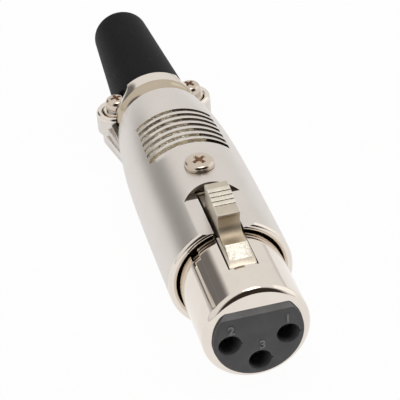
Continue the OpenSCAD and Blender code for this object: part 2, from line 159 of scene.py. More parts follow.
# %% World
world = bpy.data.worlds.new("soft room")
bpy.context.scene.world = world
world.use_nodes = True
tree = world.node_tree
tree.nodes.clear()
ROOM_BANDS = [(0.49, 0.72), (0.52, 0.76), (0.56, 0.93), (0.80, 0.96), (1.00, 1.00)]
CAMERA_SIDE = (0.06, -0.80, 0.42)
CAMERA_SIDE_EDGE, CAMERA_SIDE_CORE = 0.57, 0.80
CAMERA_SIDE_COLOUR = (0.040, 0.031, 0.024, 1)
LEFT_WALL = (-0.590, 0.735, 0.335)
LEFT_WALL_EDGE, LEFT_WALL_CORE = 0.940, 0.986
LEFT_WALL_COLOUR = (0.20, 0.19, 0.185, 1)

direction = add_node(tree, "ShaderNodeTexCoord")
split = add_node(tree, "ShaderNodeSeparateXYZ")
half = add_node(tree, "ShaderNodeMapRange", {"From Min": -1.0, "From Max": 1.0})
height = add_node(tree, "ShaderNodeValToRGB")
bands = height.color_ramp
while len(bands.elements) < len(ROOM_BANDS):
    bands.elements.new(0.5)
for element, (at, shade) in zip(bands.elements, ROOM_BANDS):
    element.position = at
    element.color = (shade, shade * 0.99, shade * 0.975, 1)
join(tree, direction.outputs["Generated"], split.inputs[0])
join(tree, split.outputs["Z"], half.inputs["Value"])
join(tree, half.outputs[0], height.inputs[0])


def dark_patch(colour_so_far, towards, edge, core, colour):
    """Darkens the part of the room that lies round one direction."""
    along = add_node(tree, "ShaderNodeVectorMath", {1: Vector(towards).normalized()},
                     operation="DOT_PRODUCT")
    inside = add_node(tree, "ShaderNodeMapRange", {"From Min": edge, "From Max": core},
                      interpolation_type="SMOOTHSTEP")
    mix = add_node(tree, "ShaderNodeMixRGB", {"Color2": colour})
    join(tree, direction.outputs["Generated"], along.inputs[0])
    join(tree, along.outputs["Value"], inside.inputs["Value"])
    join(tree, inside.outputs[0], mix.inputs["Fac"])
    join(tree, colour_so_far, mix.inputs["Color1"])
    return mix.outputs[0]


shade = dark_patch(height.outputs[0], LEFT_WALL, LEFT_WALL_EDGE, LEFT_WALL_CORE, LEFT_WALL_COLOUR)
shade = dark_patch(shade, CAMERA_SIDE, CAMERA_SIDE_EDGE, CAMERA_SIDE_CORE, CAMERA_SIDE_COLOUR)
room = add_node(tree, "ShaderNodeBackground", {"Strength": 0.95})
white = add_node(tree, "ShaderNodeBackground", {"Color": (1, 1, 1, 1), "Strength": 1.0})
ray = add_node(tree, "ShaderNodeLightPath")
mixed = add_node(tree, "ShaderNodeMixShader")
result = add_node(tree, "ShaderNodeOutputWorld")
join(tree, shade, room.inputs["Color"])
join(tree, ray.outputs["Is Camera Ray"], mixed.inputs[0])
join(tree, room.outputs[0], mixed.inputs[1])
join(tree, white.outputs[0], mixed.inputs[2])
join(tree, mixed.outputs[0], result.inputs["Surface"])
print("room bands:", len(ROOM_BANDS))

# %% Lamps
LAMPS = {
    "overhead softbox": ((0.05, -0.05, 0.50), (0, 0.03, 0), 0.22, 0.42),
    "right softbox": ((0.60, 0.05, 0.22), (0, 0.03, 0), 0.60, 0.35),
}
for name, (at, aim, size, power) in LAMPS.items():
    turn = (Vector(aim) - Vector(at)).to_track_quat("-Z", "Y").to_euler()
    bpy.ops.object.light_add(type="AREA", location=at, rotation=turn)
    lamp = bpy.context.object
    lamp.name = name
    lamp.data.size = size
    lamp.data.energy = power
    lamp.data.color = (1.0, 0.985, 0.96)
print("lamps:", ", ".join(LAMPS))

# %% [markdown]
# ## Shared effects
# Plated metal is never even. Four effects are used by several finishes: the fine grain that the
# casting shows through thin plate, the brighter worn line along every edge, faint cloudy marks
# from handling, and pale dust. Each is a group whose inputs say how large and how strong it is.
# The positions are in metres, so a scale of 4000 gives a pattern a quarter of a millimetre wide.

# %% Group: casting grain
grain_group, g_in, g_out = new_group(
    "casting grain", {"Scale": 4000.0, "Roughness": 0.35, "Spread": 0.15}, ["Roughness", "Height"])
tree = grain_group
place = add_node(tree, "ShaderNodeTexCoord")
speck = add_node(tree, "ShaderNodeTexNoise", {"Detail": 3.0, "Roughness": 0.65})
low = add_node(tree, "ShaderNodeMath", {1: 0.5}, operation="SUBTRACT")
spread = add_node(tree, "ShaderNodeMath", operation="MULTIPLY")
total = add_node(tree, "ShaderNodeMath", operation="ADD", use_clamp=True)
join(tree, place.outputs["Object"], speck.inputs["Vector"])
join(tree, g_in.outputs["Scale"], speck.inputs["Scale"])
join(tree, speck.outputs["Fac"], low.inputs[0])
join(tree, low.outputs[0], spread.inputs[0])
join(tree, g_in.outputs["Spread"], spread.inputs[1])
join(tree, spread.outputs[0], total.inputs[0])
join(tree, g_in.outputs["Roughness"], total.inputs[1])
join(tree, total.outputs[0], g_out.inputs["Roughness"])
join(tree, speck.outputs["Fac"], g_out.inputs["Height"])

# %% Group: worn edges
edge_group, g_in, g_out = new_group("worn edges", {"Radius": 0.0002, "Gain": 6.0}, ["Mask"])
tree = edge_group
rounded = add_node(tree, "ShaderNodeBevel", samples=4)
shape = add_node(tree, "ShaderNodeNewGeometry")
meet = add_node(tree, "ShaderNodeVectorMath", operation="DOT_PRODUCT")
bent = add_node(tree, "ShaderNodeMath", {0: 1.0}, operation="SUBTRACT")
gain = add_node(tree, "ShaderNodeMath", operation="MULTIPLY", use_clamp=True)
join(tree, g_in.outputs["Radius"], rounded.inputs["Radius"])
join(tree, rounded.outputs[0], meet.inputs[0])
join(tree, shape.outputs["Normal"], meet.inputs[1])
join(tree, meet.outputs["Value"], bent.inputs[1])
join(tree, bent.outputs[0], gain.inputs[0])
join(tree, g_in.outputs["Gain"], gain.inputs[1])
join(tree, gain.outputs[0], g_out.inputs["Mask"])

# %% Group: handling marks
marks_group, g_in, g_out = new_group("handling marks", {"Scale": 250.0, "Amount": 0.5}, ["Mask"])
tree = marks_group
place = add_node(tree, "ShaderNodeTexCoord")
cloud = add_node(tree, "ShaderNodeTexNoise", {"Detail": 4.0, "Roughness": 0.6, "Distortion": 0.6})
raised = add_node(tree, "ShaderNodeMapRange", {"From Min": 0.42, "From Max": 0.70})
amount = add_node(tree, "ShaderNodeMath", operation="MULTIPLY")
join(tree, place.outputs["Object"], cloud.inputs["Vector"])
join(tree, g_in.outputs["Scale"], cloud.inputs["Scale"])
join(tree, cloud.outputs["Fac"], raised.inputs["Value"])
join(tree, raised.outputs[0], amount.inputs[0])
join(tree, g_in.outputs["Amount"], amount.inputs[1])
join(tree, amount.outputs[0], g_out.inputs["Mask"])

# %% Group: dust
dust_group, g_in, g_out = new_group("dust", {"Scale": 700.0, "Size": 0.12, "Amount": 0.6}, ["Mask"])
tree = dust_group
place = add_node(tree, "ShaderNodeTexCoord")
cells = add_node(tree, "ShaderNodeTexVoronoi")
small = add_node(tree, "ShaderNodeMath", operation="LESS_THAN")
patch = add_node(tree, "ShaderNodeTexNoise", {"Scale": 300.0, "Detail": 2.0})
some = add_node(tree, "ShaderNodeMapRange", {"From Min": 0.50, "From Max": 0.62})
both = add_node(tree, "ShaderNodeMath", operation="MULTIPLY")
amount = add_node(tree, "ShaderNodeMath", operation="MULTIPLY")
join(tree, place.outputs["Object"], cells.inputs["Vector"])
join(tree, place.outputs["Object"], patch.inputs["Vector"])
join(tree, g_in.outputs["Scale"], cells.inputs["Scale"])
join(tree, cells.outputs["Distance"], small.inputs[0])
join(tree, g_in.outputs["Size"], small.inputs[1])
join(tree, patch.outputs["Fac"], some.inputs["Value"])
join(tree, small.outputs[0], both.inputs[0])
join(tree, some.outputs[0], both.inputs[1])
join(tree, both.outputs[0], amount.inputs[0])
join(tree, g_in.outputs["Amount"], amount.inputs[1])
join(tree, amount.outputs[0], g_out.inputs["Mask"])
print("groups:", ", ".join(g.name for g in bpy.data.node_groups))

# %% [markdown]
# ## The finishes
# All the metals share one recipe: a base colour that turns paler on worn edges and a little
# duller in the handling marks, roughness from the grain, and the grain again as a very shallow
# bump. They differ in their numbers. The barrel is satin, the nose and the clamp are bright, and
# the thumb steps and the ramp of the latch are rough, with a paler colour on their upward faces
# that is painted light. Several finishes are painted light or shade: the lit and shaded sides of
# the grooves, the shade in the latch pocket and under the saddle ears, the hollows of the saddle
# and the lever, and the contacts deep in their holes.

# %% Recipe for plated metal
def group_node(tree, group, **values):
    node = tree.nodes.new("ShaderNodeGroup")
    node.node_tree = group
    for name, value in values.items():
        node.inputs[name.replace("_", " ")].default_value = value
    return node


def blend_colour(tree, first, second, mask):
    mix = tree.nodes.new("ShaderNodeMixRGB")
    join(tree, mask, mix.inputs["Fac"])
    for socket, value in ((mix.inputs["Color1"], first), (mix.inputs["Color2"], second)):
        if isinstance(value, tuple):
            socket.default_value = value
        else:
            join(tree, value, socket)
    return mix.outputs[0]


def plated(name, colour, worn, dull, roughness, spread=0.1, grain=4000.0, depth=0.1, wear=5.0,
           wear_radius=0.00018, marks=0.4, metal=1.0):
    look = bpy.data.materials.new(name)
    look.use_nodes = True
    tree = look.node_tree
    shader = tree.nodes["Principled BSDF"]
    shader.inputs["Metallic"].default_value = metal
    grain_part = group_node(tree, grain_group, Scale=grain, Roughness=roughness, Spread=spread)
    edge_part = group_node(tree, edge_group, Radius=wear_radius, Gain=wear)
    marks_part = group_node(tree, marks_group, Scale=260.0, Amount=marks)
    tinted = blend_colour(tree, (*colour, 1), (*dull, 1), marks_part.outputs["Mask"])
    finished = blend_colour(tree, tinted, (*worn, 1), edge_part.outputs["Mask"])
    bump = add_node(tree, "ShaderNodeBump", {"Strength": 1.0, "Distance": depth * 0.00001})
    join(tree, finished, shader.inputs["Base Color"])
    join(tree, grain_part.outputs["Roughness"], shader.inputs["Roughness"])
    join(tree, grain_part.outputs["Height"], bump.inputs["Height"])
    join(tree, bump.outputs[0], shader.inputs["Normal"])
    return look


satin_nickel = plated("satin nickel", (0.725, 0.680, 0.640), (0.86, 0.82, 0.77), (0.665, 0.620, 0.580),
                      0.34, spread=0.20, grain=4500.0, depth=1.0)
bright_nickel = plated("bright nickel", (0.79, 0.725, 0.655), (0.88, 0.83, 0.77), (0.73, 0.66, 0.60),
                       0.07, spread=0.06, grain=2500.0, depth=0.12, marks=0.5)
lever_nickel = plated("lever nickel", (0.60, 0.535, 0.445), (0.86, 0.81, 0.71), (0.52, 0.455, 0.37),
                      0.38, spread=0.15, grain=4500.0, depth=0.8, wear=8.0)
# Painted light: a pale rough casting for the upward faces of the latch's steps and ramp, lighter than the
# lever where the overhead light falls.
rough_cast_lit = plated("rough cast nickel, painted lighter", (0.85, 0.80, 0.70), (0.96, 0.92, 0.83), (0.62, 0.56, 0.47),
                    0.30, spread=0.35, grain=2600.0, depth=7.0, marks=0.6)
# Painted light: the lit copy of the groove casting, paler than any other nickel, for the light the rough
# groove floors catch.
groove_cast_lit = plated("groove casting, painted lit side", (0.95, 0.90, 0.80), (0.98, 0.95, 0.88), (0.42, 0.35, 0.27),
                     0.16, spread=0.20, grain=2600.0, depth=10.0, marks=0.9)
# Painted shade: a dark brown copy of the groove casting for the shaded right side and walls of the
# grooves.
painted_groove_shade = plated("painted groove shade", (0.221, 0.178, 0.145), (0.55, 0.50, 0.42), (0.06, 0.048, 0.038),
                     0.28, spread=0.30, grain=3200.0, depth=7.0, marks=0.8)
# Painted shade: a dark casting colour for places where shade falls, in the rear of the latch pocket and
# under the saddle ears.
painted_shade_cast = plated("painted shade casting", (0.218, 0.190, 0.162), (0.40, 0.36, 0.31), (0.06, 0.05, 0.042),
                   0.42, spread=0.50, grain=3000.0, depth=8.0, marks=0.7)
screw_nickel = plated("screw nickel", (0.64, 0.560, 0.475), (0.84, 0.77, 0.68), (0.50, 0.41, 0.33),
                      0.14, spread=0.10, grain=3000.0, depth=0.3, wear=6.0)
recess_brown = plated("driver recess", (0.56, 0.41, 0.30), (0.72, 0.60, 0.49), (0.24, 0.15, 0.10),
                      0.38, spread=0.25, grain=3500.0, depth=2.0)
# Painted shade: a darker, browner bright finish for the saddle's hollow waist, for the shade and dark
# reflections there.
painted_saddle_shade = plated("painted shade in the saddle hollow", (0.52, 0.445, 0.345), (0.84, 0.77, 0.65), (0.50, 0.42, 0.31),
                     0.14, spread=0.10, grain=2500.0, depth=0.3)
# Painted shade: a browner, slightly darker and duller copy of the lever nickel for its shaded hollow.
painted_lever_shade = plated("painted shade on the lever", (0.60, 0.505, 0.375), (0.78, 0.70, 0.56), (0.50, 0.41, 0.29),
                     0.52, spread=0.08, grain=2500.0, depth=0.3)
spring_steel = plated("spring steel", (0.50, 0.49, 0.47), (0.66, 0.64, 0.61), (0.42, 0.40, 0.38),
                      0.28, spread=0.15)
# Painted shade: a very dark plating colour for the contacts, for the shade deep in the insert's holes.
shaded_contact_metal = plated("contact plating, painted shade", (0.20, 0.18, 0.145), (0.30, 0.27, 0.22),
                       (0.15, 0.13, 0.10), 0.36)
print("metals ready")

# %% [markdown]
# ## Plastic and vinyl
# The insert is moulded in dark grey plastic with a fine matt skin, and its mouldings have a paler
# rubbed edge. Its chamfer and its numbers are paler still, partly rubbed wear and partly painted
# light. The boot is soft black vinyl: satin, slightly uneven as it left the mould, and it
# draws dust. Neither is metal, so both use the plain dielectric shader with the same effects.

# %% Recipe for moulded skins
def moulded(name, colour, rubbed, dusty, roughness, grain, depth, dust_amount, dust_size=0.12,
            wear=3.0, shine=0.3):
    look = bpy.data.materials.new(name)
    look.use_nodes = True
    tree = look.node_tree
    shader = tree.nodes["Principled BSDF"]
    shader.inputs["Specular IOR Level"].default_value = shine
    grain_part = group_node(tree, grain_group, Scale=grain, Roughness=roughness, Spread=0.25)
    edge_part = group_node(tree, edge_group, Radius=0.00015, Gain=wear)
    marks_part = group_node(tree, marks_group, Scale=180.0, Amount=0.5)
    dust_part = group_node(tree, dust_group, Scale=900.0, Size=dust_size, Amount=dust_amount)
    paler = tuple(1.5 * c for c in colour)
    cloudy = blend_colour(tree, (*colour, 1), (*paler, 1), marks_part.outputs["Mask"])
    edged = blend_colour(tree, cloudy, (*rubbed, 1), edge_part.outputs["Mask"])
    finished = blend_colour(tree, edged, (*dusty, 1), dust_part.outputs["Mask"])
    bump = add_node(tree, "ShaderNodeBump", {"Strength": 1.0, "Distance": depth * 0.00001})
    join(tree, finished, shader.inputs["Base Color"])
    join(tree, grain_part.outputs["Roughness"], shader.inputs["Roughness"])
    join(tree, grain_part.outputs["Height"], bump.inputs["Height"])
    join(tree, bump.outputs[0], shader.inputs["Normal"])
    return look


grey_plastic = moulded("grey plastic", (0.100, 0.098, 0.103), (0.17, 0.17, 0.172),
                       (0.20, 0.20, 0.20), 0.50, 3500.0, 3.0, 0.15)
# Partly painted light: a paler plastic for the chamfer and the numbers, lighter where light from above
# falls on them.
rubbed_and_lit_plastic = moulded("rubbed plastic, painted lighter", (0.22, 0.218, 0.22), (0.30, 0.30, 0.30),
                         (0.45, 0.45, 0.44), 0.45, 3000.0, 7.0, 0.6, wear=6.0)
black_vinyl = moulded("black vinyl", (0.0050, 0.0048, 0.0062), (0.014, 0.0135, 0.015),
                      (0.13, 0.12, 0.12), 0.55, 2500.0, 2.0, 0.6, dust_size=0.09, shine=0.07)
print("skins ready")

# %% [markdown]
# ## Shaping by hand, in code
# The new pieces are drawn as a modeller would draw them. A turned piece starts as one circle,
# which is extruded ring by ring along the axis and scaled to each new radius. A flat outline is
# drawn point by point from a single vertex, filled, and then extruded or spun. Holes and slots
# are cut with the Boolean modifier, and a Bevel modifier gives each edge the small radius that
# plating leaves, which is what catches the light.

# %% Helpers for shaping
def select_only(piece):
    if bpy.context.object and bpy.context.object.mode != "OBJECT":
        bpy.ops.object.mode_set(mode="OBJECT")
    bpy.ops.object.select_all(action="DESELECT")
    if piece:
        piece.select_set(True)
        bpy.context.view_layer.objects.active = piece


def settle(piece, name):
    """Names the piece and moves its place from the object into the mesh."""
    select_only(piece)
    bpy.ops.object.transform_apply(location=True, rotation=True, scale=True)
    piece.name = piece.data.name = name
    return piece


def turned(name, points, sides=96, closed=False):
    """A body turned about the axis, from points of (radius, y) in millimetres."""
    select_only(None)
    radius, y = points[0]
    bpy.ops.mesh.primitive_circle_add(vertices=sides, radius=radius * MM,
                                      location=(0, y * MM, 0), rotation=(math.pi / 2, 0, 0))
    piece = settle(bpy.context.object, name)
    bpy.ops.object.mode_set(mode="EDIT")
    bpy.ops.mesh.select_all(action="SELECT")
    if not closed:
        bpy.ops.mesh.edge_face_add()
        bpy.ops.mesh.extrude_region_move()
    for step, (next_radius, next_y) in enumerate(points[1:]):
        if closed or step:
            bpy.ops.mesh.extrude_region_move()
        bpy.ops.transform.translate(value=(0, (next_y - y) * MM, 0))
        grow = next_radius / radius
        bpy.ops.transform.resize(value=(grow, 1, grow), center_override=(0, 0, 0))
        radius, y = next_radius, next_y
    bpy.ops.mesh.select_all(action="SELECT")
    bpy.ops.mesh.remove_doubles(threshold=1e-7)
    bpy.ops.mesh.normals_make_consistent(inside=False)
    bpy.ops.object.mode_set(mode="OBJECT")
    return piece


def traced(name, points, place):
    """A filled flat outline, drawn from point to point. place turns a point into millimetres."""
    select_only(None)
    corners = [Vector(place(*p)) * MM for p in points]
    bpy.ops.mesh.primitive_plane_add(size=MM, location=corners[0])
    piece = settle(bpy.context.object, name)
    bpy.ops.object.mode_set(mode="EDIT")
    bpy.ops.mesh.select_all(action="SELECT")
    bpy.ops.mesh.merge(type="CENTER")
    for here, there in zip(corners, corners[1:] + corners[:1]):
        bpy.ops.mesh.extrude_vertices_move(TRANSFORM_OT_translate={"value": there - here})
    bpy.ops.mesh.select_all(action="SELECT")
    bpy.ops.mesh.remove_doubles(threshold=1e-7)
    bpy.ops.mesh.edge_face_add()
    return piece


def extruded(name, points, place, reach):
    """A prism: the outline drawn by traced, pushed out by the vector reach, in millimetres."""
    piece = traced(name, points, place)
    bpy.ops.mesh.extrude_region_move(
        TRANSFORM_OT_translate={"value": Vector(reach) * MM})
    bpy.ops.mesh.select_all(action="SELECT")
    bpy.ops.mesh.normals_make_consistent(inside=False)
    bpy.ops.object.mode_set(mode="OBJECT")
    return piece


def rod(name, radius, low, high, sides=64, centre=(0, 0), along="Z"):
    """A cylinder from low to high along Y or Z, about centre, all in millimetres."""
    select_only(None)
    middle = (low + high) / 2
    if along == "Z":
        at, turn = (centre[0], centre[1], middle), (0, 0, 0)
    elif along == "Y":
        at, turn = (centre[0], middle, centre[1]), (math.pi / 2, 0, 0)
    else:
        at, turn = (middle, centre[0], centre[1]), (0, math.pi / 2, 0)
    bpy.ops.mesh.primitive_cylinder_add(vertices=sides, radius=radius * MM,
                                        depth=(high - low) * MM,
                                        location=[v * MM for v in at], rotation=turn)
    return settle(bpy.context.object, name)


def block(name, low, high):
    """A box between two corners, in millimetres."""
    select_only(None)
    size = [h - l for l, h in zip(low, high)]
    bpy.ops.mesh.primitive_cube_add(size=MM, scale=size,
                                    location=[(l + h) / 2 * MM for l, h in zip(low, high)])
    return settle(bpy.context.object, name)


def combine(piece, tool, how="DIFFERENCE"):
    """Cuts the tool out of the piece, or joins it on, and removes the tool."""
    select_only(piece)
    step = piece.modifiers.new("shape", "BOOLEAN")
    step.operation = how
    step.object = tool
    step.solver = "EXACT"
    bpy.ops.object.modifier_apply(modifier=step.name)
    bpy.data.objects.remove(tool)
    return piece


def tidy_mesh(piece):
    """Merges stray doubles and flattens needless edges after the cuts."""
    select_only(piece)
    bpy.ops.object.mode_set(mode="EDIT")
    bpy.ops.mesh.select_all(action="SELECT")
    bpy.ops.mesh.remove_doubles(threshold=2e-6)
    bpy.ops.mesh.dissolve_degenerate(threshold=2e-6)
    bpy.ops.object.mode_set(mode="OBJECT")


def soften(piece, width, segments=2, sharp=32.0, smooth=38.0, clamp=True):
    """Rounds the sharp edges by width, in millimetres, and shades the piece smooth."""
    tidy_mesh(piece)
    step = piece.modifiers.new("soft edges", "BEVEL")
    step.width = width * MM
    step.segments = segments
    step.limit_method = "ANGLE"
    step.angle_limit = math.radians(sharp)
    step.use_clamp_overlap = clamp
    step.miter_outer = "MITER_ARC"
    bpy.ops.object.modifier_apply(modifier=step.name)
    bpy.ops.object.shade_smooth_by_angle(angle=math.radians(smooth))


def finish(piece, look, body, slot, *replaced):
    """Gives the piece its finish and body, and says which CAD nodes it stands for."""
    piece.data.materials.clear()
    piece.data.materials.append(look)
    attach(piece, body)
    if replaced:
        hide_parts(*replaced)
    piece.data.calc_loop_triangles()
    print("%s: %d triangles" % (piece.name, len(piece.data.loop_triangles)))
    return piece


def paint(piece, look, chosen):
    """Gives a second finish to the faces that chosen(place in mm, normal) picks."""
    piece.data.materials.append(look)
    index = len(piece.data.materials) - 1
    count = 0
    for face in piece.data.polygons:
        if chosen(face.center / MM, face.normal):
            face.material_index = index
            count += 1
    print("%s: %d faces in %s" % (piece.name, count, look.name))


def arc(cx, cy, radius, start, end, steps=6):
    """Points of an arc about (cx, cy), from one angle in degrees to another."""
    turn = [math.radians(start + (end - start) * i / steps) for i in range(steps + 1)]
    return [(cx + radius * math.cos(t), cy + radius * math.sin(t)) for t in turn]


# %% [markdown]
# ## The nose shell
# The nose is a bright tube that slides into the mating plug. Its bore is round with a flat across
# the top, because the latch lies between the flat and the outside. A slot lets the catch tooth
# through, and a key groove with a rounded front end runs back on the left. The tube is turned
# solid, and the bore, the slot and the groove are cut out of it.

# %% Nose shell
NOSE_R, NOSE_LEN, NOSE_FRONT_Y, NOSE_ROUND = 7.9, 34.5, 0.5, 1.1
BORE_R, BORE_FLAT_Z = 6.62, 4.77
SLOT_FRONT_Y, SLOT_W, SLOT_REAR_Y = 6.3, 4.4, 28.28
KEY_ANGLE, KEY_W, KEY_DEPTH, KEY_FRONT_Y, KEY_REAR_Y = 43.0, 1.4, 0.55, 1.4, 16.25

nose = turned("nose_shell_bright",
              arc(NOSE_R - NOSE_ROUND, NOSE_FRONT_Y + NOSE_ROUND, NOSE_ROUND, -90, 0, 14)
              + [(NOSE_R, 4.0), (NOSE_R, 14.0), (NOSE_R, NOSE_LEN - 0.5),
                 (NOSE_R - 0.5, NOSE_LEN)], sides=128)
bore = rod("bore", BORE_R, -1, NOSE_LEN + 1, sides=128, along="Y")
combine(bore, block("above flat", (-9, -2, BORE_FLAT_Z), (9, NOSE_LEN + 2, 9)))
combine(nose, bore)
combine(nose, block("slot", (-SLOT_W / 2, SLOT_FRONT_Y, BORE_FLAT_Z - 0.5),
                    (SLOT_W / 2, SLOT_REAR_Y, NOSE_R + 1)))
key = block("key", (-KEY_W / 2, KEY_FRONT_Y + KEY_W / 2, NOSE_R - KEY_DEPTH),
            (KEY_W / 2, KEY_REAR_Y, NOSE_R + 1))
combine(key, rod("key end", KEY_W / 2, NOSE_R - KEY_DEPTH, NOSE_R + 1,
                 centre=(0, KEY_FRONT_Y + KEY_W / 2), sides=32), "UNION")
select_only(key)
key.rotation_euler = (0, -math.radians(KEY_ANGLE), 0)
settle(key, "key")
combine(nose, key)
soften(nose, 0.10, segments=3)
finish(nose, bright_nickel, "shell", "polished_nickel", "nose_shell")

# %% [markdown]
# ## The insert
# The plastic insert closes the nose and carries the three contacts. Its edge along the flat has a
# chamfer whose upward faces are painted pale, as painted light. Each hole has a small pointed notch
# on its right side, and the contact numbers stand proud of the face beside the holes, as on every
# connector of this kind.

# %% Insert
INSERT_Y, INSERT_LEN = 0.0, 19.4
INSERT_R, INSERT_TOP_Z = BORE_R - 0.05, BORE_FLAT_Z - 0.05
CONTACT_CIRCLE_R, CONTACT_ANGLE = 4.27, 82.0
HOLE_R = 1.68
CHAMFER_H, CHAMFER_DEEP = 0.95, 0.55

contact_spots = [
    (CONTACT_CIRCLE_R * math.sin(math.radians(a)), -CONTACT_CIRCLE_R * math.cos(math.radians(a)))
    for a in (CONTACT_ANGLE, -CONTACT_ANGLE, 0)]
insert = rod("insert_face", INSERT_R, INSERT_Y, INSERT_Y + INSERT_LEN, sides=128, along="Y")
combine(insert, block("above flat", (-9, -2, INSERT_TOP_Z), (9, INSERT_LEN + 2, 9)))
bevel_cut = extruded("flat chamfer", [(INSERT_Y - 0.1, INSERT_TOP_Z - CHAMFER_H),
                                      (INSERT_Y - 0.1, INSERT_TOP_Z + 0.1),
                                      (INSERT_Y + CHAMFER_DEEP, INSERT_TOP_Z + 0.1)],
                     lambda y, z: (-9, y, z), (18, 0, 0))
combine(insert, bevel_cut)
for x, z in contact_spots:
    combine(insert, rod("hole", HOLE_R, -1, 17, sides=64, centre=(x, z), along="Y"))
    notch = extruded("notch", [(HOLE_R - 0.5, -0.35), (HOLE_R + 0.35, 0.0), (HOLE_R - 0.5, 0.35)],
                     lambda u, v, x=x, z=z: (x + u, -0.5, z + v), (0, 3.0, 0))
    combine(insert, notch)
    combine(insert, rod("collar room", 2.1, 16.4, 21, sides=48, centre=(x, z), along="Y"))
soften(insert, 0.07)
finish(insert, grey_plastic, "shell", "grey_plastic", "insert")
# Painted light: the upward faces of the chamfer get the paler plastic.
paint(insert, rubbed_and_lit_plastic, lambda at, normal: at.y < 0.6 and at.z > INSERT_TOP_Z - CHAMFER_H - 0.06
      and normal.z > 0.2)

# %% Contact numbers
NUMBER_SIZE, NUMBER_RISE, NUMBER_BOLD = 1.9, 0.15, 0.05
NUMBER_PLACES = {"1": (4.22, 2.09), "2": (-3.92, 1.98), "3": (0.45, -1.58)}
# The numbers are in the paler plastic, partly rubbed wear and partly painted light.
for word, (x, z) in NUMBER_PLACES.items():
    select_only(None)
    bpy.ops.object.text_add(location=(x * MM, INSERT_Y * MM, z * MM),
                            rotation=(math.pi / 2, 0, 0))
    number = bpy.context.object
    number.data.body = word
    number.data.align_x = "CENTER"
    number.data.align_y = "CENTER"
    number.data.size = NUMBER_SIZE * MM
    number.data.extrude = NUMBER_RISE * MM
    number.data.offset = NUMBER_BOLD * MM
    bpy.ops.object.convert(target="MESH")
    settle(bpy.context.object, "contact_number_" + word)
    finish(bpy.context.object, rubbed_and_lit_plastic, "shell", "grey_plastic")

# %% [markdown]
# ## The grip housing
# The grip is one casting: a straight barrel behind a rounded rim, drawn in to a smaller rear rim,
# with the lower half of the cable clamp and two lugs behind it. Its section is turned as a closed
# ring, so the wall has its real thickness. The latch pocket is a flat floor with an arched rear
# wall, and seven grooves cross the top for the fingers.

# %% Grip barrel
GRIP_R, GRIP_FRONT_Y, GRIP_REAR_Y, GRIP_REAR_R = 9.4, 14.05, 57.0, 7.45
TAPER_START_Y, TAPER_POWER = 20.0, 4.0
RIM_RECESS_R, RIM_RECESS_Y = 8.10, 16.25
CHAMBER_R, CHAMBER_REAR_Y, CLAMP_BORE_R = 6.6, 53.0, 6.35
SEAT_R = NOSE_R + 0.05


def grip_radius(y):
    if y <= TAPER_START_Y:
        return GRIP_R
    drawn_in = ((y - TAPER_START_Y) / (GRIP_REAR_Y - TAPER_START_Y)) ** TAPER_POWER
    return GRIP_R - (GRIP_R - GRIP_REAR_R) * drawn_in


RIM_ROUND = (GRIP_R - RIM_RECESS_R) / 2
taper = [TAPER_START_Y + (GRIP_REAR_Y - 0.5 - TAPER_START_Y) * i / 26 for i in range(27)]
grip = turned("grip_barrel",
              arc(GRIP_R - RIM_ROUND, GRIP_FRONT_Y + RIM_ROUND, RIM_ROUND, 180, 360, 14)
              + [(grip_radius(y), y) for y in taper]
              + arc(GRIP_REAR_R - 0.55, GRIP_REAR_Y - 0.5, 0.5, 0, 90, 5)
              + [(CLAMP_BORE_R, GRIP_REAR_Y), (CLAMP_BORE_R, CHAMBER_REAR_Y + 2),
                 (CHAMBER_R, CHAMBER_REAR_Y), (CHAMBER_R, NOSE_LEN), (SEAT_R, NOSE_LEN),
                 (SEAT_R, RIM_RECESS_Y), (RIM_RECESS_R - 0.05, GRIP_FRONT_Y + 1),
                 (RIM_RECESS_R, GRIP_FRONT_Y + RIM_ROUND)], sides=128, closed=True)
print("grip wall %.2f mm at the chamber" % (grip_radius(45) - CHAMBER_R))

# %% A web between two upright rods
def web_between(first, second):
    """The shape stretched round two upright rods, each (x, y, low z, high z, radius)."""
    web = rod("web", first[4], first[2], first[3], sides=48, centre=first[:2])
    other = rod("web end", second[4], second[2], second[3], sides=48, centre=second[:2])
    select_only(web)
    other.select_set(True)
    bpy.ops.object.join()
    bpy.ops.object.mode_set(mode="EDIT")
    bpy.ops.mesh.select_all(action="SELECT")
    bpy.ops.mesh.convex_hull()
    bpy.ops.object.mode_set(mode="OBJECT")
    return web


# %% Clamp cradle and lugs
CLAMP_X, CLAMP_Y, BOSS_R, BOSS_H, BOSS_TOP_Z, BOSS_BACK = 6.35, 62.8, 3.4, 2.9, 0.0, 0.6
BOSS_Y, BOSS_RIM = CLAMP_Y + BOSS_BACK, 0.4
LUG_R, LUG_Y, LUG_H, LUG_ROUND, EAR_SEAT_R = 3.45, CLAMP_Y + 0.4, BOSS_H + 1.2, 0.7, 2.22
EAR_SEAT = [(EAR_SEAT_R, 0), (EAR_SEAT_R, 0.6), (EAR_SEAT_R + 0.1, 0.85), (EAR_SEAT_R + 0.3, 1.1),
            (EAR_SEAT_R + 0.7, 1.25), (EAR_SEAT_R + 0.7, 3)]
CROWN_R = 7.1
CRADLE_REAR_Y, CRADLE_R, CRADLE_BEVEL = BOSS_Y + BOSS_R, GRIP_REAR_R + 0.8, 0.5
cradle = turned("cradle", [(CLAMP_BORE_R, GRIP_REAR_Y - 2), (CRADLE_R - CRADLE_BEVEL, GRIP_REAR_Y - 2),
                           (CRADLE_R, CRADLE_REAR_Y - CRADLE_BEVEL),
                           (CRADLE_R - CRADLE_BEVEL, CRADLE_REAR_Y), (CLAMP_BORE_R, CRADLE_REAR_Y),
                           (CLAMP_BORE_R, GRIP_REAR_Y - 2)], sides=128, closed=True)
combine(cradle, block("upper half", (-12, 50, BOSS_TOP_Z), (12, 70, 12)))
